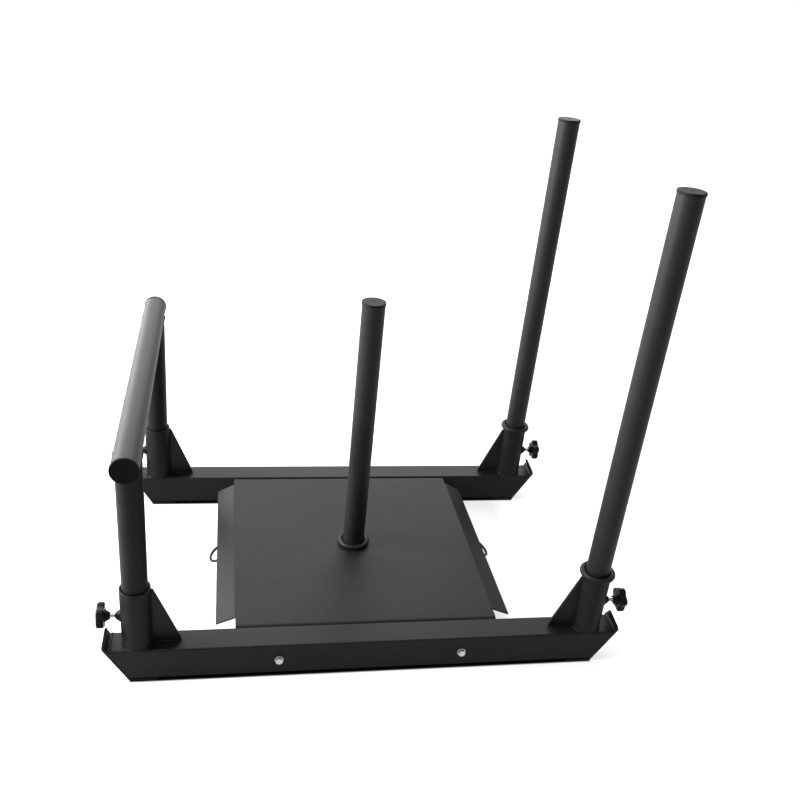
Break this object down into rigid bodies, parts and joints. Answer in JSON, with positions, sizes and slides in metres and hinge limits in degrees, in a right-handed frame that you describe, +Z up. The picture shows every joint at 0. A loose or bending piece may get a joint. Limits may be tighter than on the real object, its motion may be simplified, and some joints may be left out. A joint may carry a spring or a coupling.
{
  "type": "weight sled",
  "caption": "Black steel weight sled with raked skids, a folded deck with a weight post, tall push poles and a low push bar held in sockets by hand knobs.",
  "frame": {"origin": "on the floor, under the centre post", "axes": "+X along the skids from the low push bar to the tall poles, +Y across the sled away from the near skid, +Z up"},
  "size_m": [1.0506, 0.7316, 0.9874],
  "materials": {
    "powder_coat": "satin black powder coat",
    "zinc_plate": "bright zinc plate",
    "black_plastic": "moulded black plastic"
  },
  "bodies": {
    "sled_base": {"skid_tube_near": "powder_coat", "skid_tube_far": "powder_coat", "nose_plate_near_left": "powder_coat", "nose_plate_near_right": "powder_coat", "nose_plate_far_left": "powder_coat", "nose_plate_far_right": "powder_coat", "socket_near_left": "powder_coat", "socket_near_right": "powder_coat", "socket_far_left": "powder_coat", "socket_far_right": "powder_coat", "gusset_near_left": "powder_coat", "gusset_near_right": "powder_coat", "gusset_far_left": "powder_coat", "gusset_far_right": "powder_coat", "clamp_boss_near_left": "powder_coat", "clamp_boss_near_right": "powder_coat", "clamp_boss_far_left": "powder_coat", "clamp_boss_far_right": "powder_coat", "deck_plate": "powder_coat", "deck_socket": "powder_coat", "tow_loop_left": "powder_coat", "tow_loop_right": "powder_coat", "deck_bolt_near_left": "zinc_plate", "deck_bolt_near_right": "zinc_plate", "deck_bolt_far_left": "zinc_plate", "deck_bolt_far_right": "zinc_plate", "deck_washer_near_left": "zinc_plate", "deck_washer_near_right": "zinc_plate", "deck_washer_far_left": "zinc_plate", "deck_washer_far_right": "zinc_plate", "deck_nut_near_left": "zinc_plate", "deck_nut_near_right": "zinc_plate", "deck_nut_far_left": "zinc_plate", "deck_nut_far_right": "zinc_plate"},
    "centre_post": {"centre_post": "powder_coat", "centre_post_cap": "black_plastic", "centre_post_ring": "powder_coat"},
    "push_pole_near": {"push_pole_near": "powder_coat", "push_pole_cap_near": "black_plastic", "push_pole_ring_near": "powder_coat"},
    "push_pole_far": {"push_pole_far": "powder_coat", "push_pole_cap_far": "black_plastic", "push_pole_ring_far": "powder_coat"},
    "push_bar": {"push_bar_tube": "powder_coat", "push_bar_upright_near": "powder_coat", "push_bar_upright_far": "powder_coat", "push_bar_cap_near": "black_plastic", "push_bar_cap_far": "black_plastic"},
    "stud_near_left": {"clamp_stud_near_left": "zinc_plate"},
    "knob_near_left": {"clamp_knob_near_left": "black_plastic"},
    "stud_near_right": {"clamp_stud_near_right": "zinc_plate"},
    "knob_near_right": {"clamp_knob_near_right": "black_plastic"},
    "stud_far_left": {"clamp_stud_far_left": "zinc_plate"},
    "knob_far_left": {"clamp_knob_far_left": "black_plastic"},
    "stud_far_right": {"clamp_stud_far_right": "zinc_plate"},
    "knob_far_right": {"clamp_knob_far_right": "black_plastic"}
  },
  "joints": [
    {"name": "centre_post_lift", "type": "slide", "parent": "sled_base", "child": "centre_post", "axis": [0, 0, 1], "range_m": [0, 0.2]},
    {"name": "push_pole_near_lift", "type": "slide", "parent": "sled_base", "child": "push_pole_near", "axis": [0, 0, 1], "range_m": [0, 0.2]},
    {"name": "push_pole_far_lift", "type": "slide", "parent": "sled_base", "child": "push_pole_far", "axis": [0, 0, 1], "range_m": [0, 0.2]},
    {"name": "push_bar_lift", "type": "slide", "parent": "sled_base", "child": "push_bar", "axis": [0, 0, 1], "range_m": [0, 0.2]},
    {"name": "clamp_travel_near_left", "type": "slide", "parent": "sled_base", "child": "stud_near_left", "axis": [-1, 0, 0], "range_m": [0, 0.00375]},
    {"name": "knob_turn_near_left", "type": "hinge", "parent": "stud_near_left", "child": "knob_near_left", "pos_m": [-0.509, -0.304, 0.1401], "axis": [-1, 0, 0], "range_deg": [0, 1080]},
    {"name": "clamp_travel_near_right", "type": "slide", "parent": "sled_base", "child": "stud_near_right", "axis": [1, 0, 0], "range_m": [0, 0.00375]},
    {"name": "knob_turn_near_right", "type": "hinge", "parent": "stud_near_right", "child": "knob_near_right", "pos_m": [0.509, -0.304, 0.1401], "axis": [1, 0, 0], "range_deg": [0, 1080]},
    {"name": "clamp_travel_far_left", "type": "slide", "parent": "sled_base", "child": "stud_far_left", "axis": [-1, 0, 0], "range_m": [0, 0.00375]},
    {"name": "knob_turn_far_left", "type": "hinge", "parent": "stud_far_left", "child": "knob_far_left", "pos_m": [-0.509, 0.304, 0.1401], "axis": [-1, 0, 0], "range_deg": [0, 1080]},
    {"name": "clamp_travel_far_right", "type": "slide", "parent": "sled_base", "child": "stud_far_right", "axis": [1, 0, 0], "range_m": [0, 0.00375]},
    {"name": "knob_turn_far_right", "type": "hinge", "parent": "stud_far_right", "child": "knob_far_right", "pos_m": [0.509, 0.304, 0.1401], "axis": [1, 0, 0], "range_deg": [0, 1080]}
  ],
  "couplings": [
    {"joint": "clamp_travel_near_left", "follows": "knob_turn_near_left", "m_per_rad": 0.00019894},
    {"joint": "clamp_travel_near_right", "follows": "knob_turn_near_right", "m_per_rad": 0.00019894},
    {"joint": "clamp_travel_far_left", "follows": "knob_turn_far_left", "m_per_rad": 0.00019894},
    {"joint": "clamp_travel_far_right", "follows": "knob_turn_far_right", "m_per_rad": 0.00019894}
  ]
}
